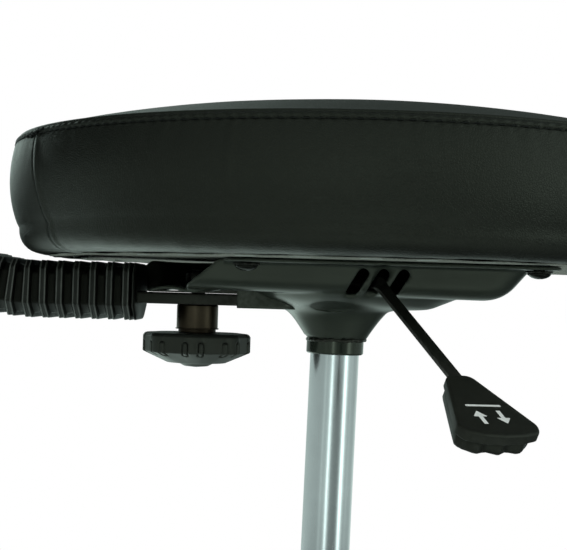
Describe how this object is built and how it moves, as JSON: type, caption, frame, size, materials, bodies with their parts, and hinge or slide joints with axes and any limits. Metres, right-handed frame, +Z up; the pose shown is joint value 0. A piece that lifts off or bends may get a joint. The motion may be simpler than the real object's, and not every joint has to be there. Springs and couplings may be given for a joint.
{
  "type": "work stool",
  "caption": "Round padded work stool on a gas lift and castered star base, with a stamped seat plate, a side lever and a small backrest on a flat arm in a ribbed boot.",
  "frame": {"origin": "on the floor, under the middle of the bounding box; the column stands 11 mm in front of it", "axes": "+X towards the front of the seat, +Z up, the valve lever on the -Y side"},
  "size_m": [0.6354, 0.5976, 0.9069],
  "materials": {
    "vinyl": "black vinyl with a fine grain, satin",
    "foam": "open-cell seat foam",
    "plywood": "raw plywood",
    "non_woven": "thin black non-woven sheet",
    "black_steel": "satin black enamel on pressed steel",
    "chrome": "bright chrome plating",
    "bare_steel": "zinc-plated steel",
    "rubber": "matt black rubber",
    "black_plastic": "moulded black plastic, fine texture",
    "wheel_plastic": "hard black nylon",
    "brown_sleeve": "dark brown moulding, slightly glossy"
  },
  "bodies": {
    "base": {"star_base": "chrome", "column_tube": "chrome", "guide_bush": "black_plastic", "thrust_bearing": "bare_steel", "caster_stem_1": "bare_steel", "caster_stem_2": "bare_steel", "caster_stem_3": "bare_steel", "caster_stem_4": "bare_steel", "caster_stem_5": "bare_steel"},
    "spindle": {"piston_rod": "bare_steel", "rod_clip": "bare_steel"},
    "seat_frame": {"gas_tube": "chrome", "rod_guide": "black_plastic", "taper_socket": "black_steel", "seat_plate": "black_steel", "bar_channel": "black_steel", "dust_cover": "non_woven", "seat_board": "plywood", "seat_foam": "foam", "seat_cover": "vinyl", "plate_screw_1": "black_steel", "plate_screw_2": "black_steel", "plate_screw_3": "black_steel", "plate_screw_4": "black_steel", "weld_nut": "bare_steel"},
    "valve": {"valve_button": "bare_steel"},
    "valve_lever": {"lever": "black_steel", "lever_paddle": "black_plastic"},
    "arm": {"j_bar": "black_steel", "bar_boot": "rubber"},
    "clamp_sleeve": {"clamp_spacer": "brown_sleeve"},
    "clamp_screw": {"clamp_knob": "black_plastic", "clamp_bolt": "bare_steel"},
    "backrest": {"back_bracket": "black_steel", "back_shell": "black_plastic", "back_cushion": "vinyl"},
    "back_ring": {"back_washer": "bare_steel"},
    "back_screw": {"back_knob": "black_plastic", "back_bolt": "bare_steel"},
    "caster_1": {"caster_hood_1": "black_plastic", "caster_axle_1": "bare_steel"},
    "wheel_1_left": {"caster_wheel_1_left": "wheel_plastic"},
    "wheel_1_right": {"caster_wheel_1_right": "wheel_plastic"},
    "caster_2": {"caster_hood_2": "black_plastic", "caster_axle_2": "bare_steel"},
    "wheel_2_left": {"caster_wheel_2_left": "wheel_plastic"},
    "wheel_2_right": {"caster_wheel_2_right": "wheel_plastic"},
    "caster_3": {"caster_hood_3": "black_plastic", "caster_axle_3": "bare_steel"},
    "wheel_3_left": {"caster_wheel_3_left": "wheel_plastic"},
    "wheel_3_right": {"caster_wheel_3_right": "wheel_plastic"},
    "caster_4": {"caster_hood_4": "black_plastic", "caster_axle_4": "bare_steel"},
    "wheel_4_left": {"caster_wheel_4_left": "wheel_plastic"},
    "wheel_4_right": {"caster_wheel_4_right": "wheel_plastic"},
    "caster_5": {"caster_hood_5": "black_plastic", "caster_axle_5": "bare_steel"},
    "wheel_5_left": {"caster_wheel_5_left": "wheel_plastic"},
    "wheel_5_right": {"caster_wheel_5_right": "wheel_plastic"}
  },
  "joints": [
    {"name": "seat_swivel", "type": "hinge", "parent": "base", "child": "spindle", "pos_m": [0.01111, 0, 0], "axis": [0, 0, 1], "continuous": true},
    {"name": "seat_height", "type": "slide", "parent": "spindle", "child": "seat_frame", "axis": [0, 0, 1], "range_m": [-0.14, 0]},
    {"name": "lever_lift", "type": "hinge", "parent": "seat_frame", "child": "valve_lever", "pos_m": [0.03003, -0.06004, 0.51091], "axis": [-0.953, -0.3024, -0.0191], "range_deg": [0, 2.2], "stiffness_Nm_per_rad": 1.5, "springref_deg": -1.72},
    {"name": "valve_press", "type": "slide", "parent": "seat_frame", "child": "valve", "axis": [0, 0, -1], "range_m": [0, 0.0026]},
    {"name": "arm_depth", "type": "slide", "parent": "seat_frame", "child": "arm", "axis": [0.9998, 0, 0.0201], "range_m": [-0.015, 0]},
    {"name": "clamp_travel", "type": "slide", "parent": "seat_frame", "child": "clamp_sleeve", "axis": [0.0201, 0, -0.9998], "range_m": [0, 0.0025]},
    {"name": "knob_turn", "type": "hinge", "parent": "clamp_sleeve", "child": "clamp_screw", "pos_m": [-0.06876, 0, 0.47241], "axis": [0.0201, 0, -0.9998], "range_deg": [0, 720]},
    {"name": "back_height", "type": "slide", "parent": "arm", "child": "backrest", "axis": [-0.0201, 0, 0.9998], "range_m": [-0.04, 0.04]},
    {"name": "back_clamp_travel", "type": "slide", "parent": "backrest", "child": "back_ring", "axis": [-0.9998, 0, -0.0201], "range_m": [0, 0.0025]},
    {"name": "back_knob_turn", "type": "hinge", "parent": "back_ring", "child": "back_screw", "pos_m": [-0.29903, 0, 0.79841], "axis": [-0.9998, 0, -0.0201], "range_deg": [0, 720]},
    {"name": "caster_swivel_1", "type": "hinge", "parent": "base", "child": "caster_1", "pos_m": [0.30111, 0, 0.05], "axis": [0, 0, 1], "continuous": true},
    {"name": "wheel_1_left_spin", "type": "hinge", "parent": "caster_1", "child": "wheel_1_left", "pos_m": [0.28311, 0, 0.02437], "axis": [0, 1, 0], "continuous": true},
    {"name": "wheel_1_right_spin", "type": "hinge", "parent": "caster_1", "child": "wheel_1_right", "pos_m": [0.28311, 0, 0.02437], "axis": [0, 1, 0], "continuous": true},
    {"name": "caster_swivel_2", "type": "hinge", "parent": "base", "child": "caster_2", "pos_m": [0.10072, 0.27581, 0.05], "axis": [0, 0, 1], "continuous": true},
    {"name": "wheel_2_left_spin", "type": "hinge", "parent": "caster_2", "child": "wheel_2_left", "pos_m": [0.08272, 0.27581, 0.02437], "axis": [0, 1, 0], "continuous": true},
    {"name": "wheel_2_right_spin", "type": "hinge", "parent": "caster_2", "child": "wheel_2_right", "pos_m": [0.08272, 0.27581, 0.02437], "axis": [0, 1, 0], "continuous": true},
    {"name": "caster_swivel_3", "type": "hinge", "parent": "base", "child": "caster_3", "pos_m": [-0.22351, 0.17046, 0.05], "axis": [0, 0, 1], "continuous": true},
    {"name": "wheel_3_left_spin", "type": "hinge", "parent": "caster_3", "child": "wheel_3_left", "pos_m": [-0.24151, 0.17046, 0.02437], "axis": [0, 1, 0], "continuous": true},
    {"name": "wheel_3_right_spin", "type": "hinge", "parent": "caster_3", "child": "wheel_3_right", "pos_m": [-0.24151, 0.17046, 0.02437], "axis": [0, 1, 0], "continuous": true},
    {"name": "caster_swivel_4", "type": "hinge", "parent": "base", "child": "caster_4", "pos_m": [-0.22351, -0.17046, 0.05], "axis": [0, 0, 1], "continuous": true},
    {"name": "wheel_4_left_spin", "type": "hinge", "parent": "caster_4", "child": "wheel_4_left", "pos_m": [-0.24151, -0.17046, 0.02437], "axis": [0, 1, 0], "continuous": true},
    {"name": "wheel_4_right_spin", "type": "hinge", "parent": "caster_4", "child": "wheel_4_right", "pos_m": [-0.24151, -0.17046, 0.02437], "axis": [0, 1, 0], "continuous": true},
    {"name": "caster_swivel_5", "type": "hinge", "parent": "base", "child": "caster_5", "pos_m": [0.10072, -0.27581, 0.05], "axis": [0, 0, 1], "continuous": true},
    {"name": "wheel_5_left_spin", "type": "hinge", "parent": "caster_5", "child": "wheel_5_left", "pos_m": [0.08272, -0.27581, 0.02437], "axis": [0, 1, 0], "continuous": true},
    {"name": "wheel_5_right_spin", "type": "hinge", "parent": "caster_5", "child": "wheel_5_right", "pos_m": [0.08272, -0.27581, 0.02437], "axis": [0, 1, 0], "continuous": true}
  ],
  "couplings": [
    {"joint": "valve_press", "follows": "lever_lift", "m_per_rad": 0.063},
    {"joint": "knob_turn", "follows": "clamp_travel", "rad_per_m": 5026.6},
    {"joint": "back_knob_turn", "follows": "back_clamp_travel", "rad_per_m": 5026.6}
  ]
}
